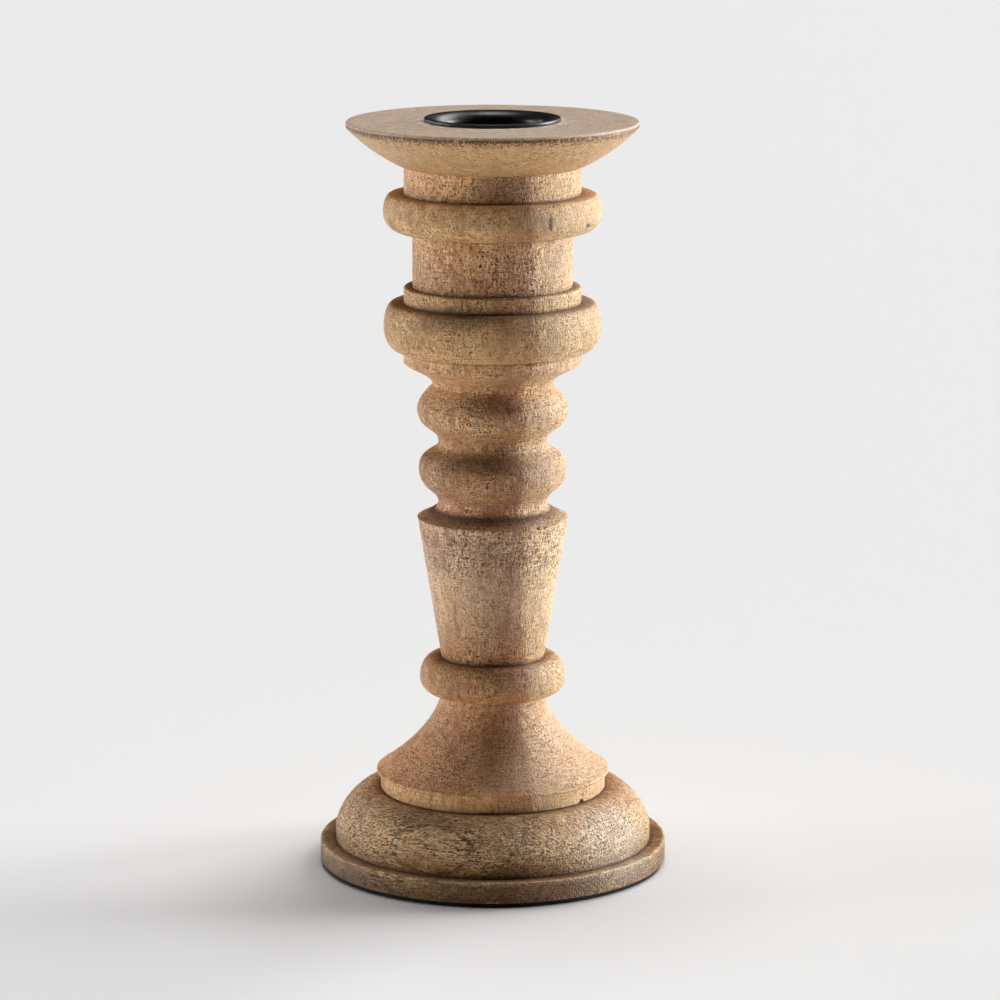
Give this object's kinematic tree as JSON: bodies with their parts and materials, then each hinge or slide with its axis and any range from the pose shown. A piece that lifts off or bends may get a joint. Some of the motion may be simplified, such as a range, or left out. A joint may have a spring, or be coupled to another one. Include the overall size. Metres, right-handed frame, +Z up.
{
  "type": "turned wooden candlestick",
  "caption": "Turned wooden candlestick with a domed base, a beaded stem, a dished drip pan and a flanged iron cup for a taper candle.",
  "frame": {"origin": "centre of the felt pad's underside, on the surface that the candlestick stands on", "axes": "+Z up along the turning axis, towards the candle cup; +X and +Y are equal, because every piece is round"},
  "size_m": [0.0762, 0.0762, 0.1648],
  "materials": {
    "stem_wood": "golden brown hardwood with upright grain, open dark pores and a pale waxed finish, satin",
    "base_wood": "greyer brown hardwood with level grain, short dark pore streaks, satin",
    "pan_wood": "pale pinkish tan hardwood with level grain, satin, torn grain along the rim",
    "black_iron": "satin black enamel on thin spun iron",
    "felt": "black pressed felt",
    "screw_steel": "zinc plated"
  },
  "bodies": {
    "root": {"felt_pad": "felt", "base": "base_wood", "stem": "stem_wood", "pan": "pan_wood", "candle_cup": "black_iron", "cup_screw": "screw_steel", "base_washer": "screw_steel", "base_screw": "screw_steel"}
  },
  "joints": []
}
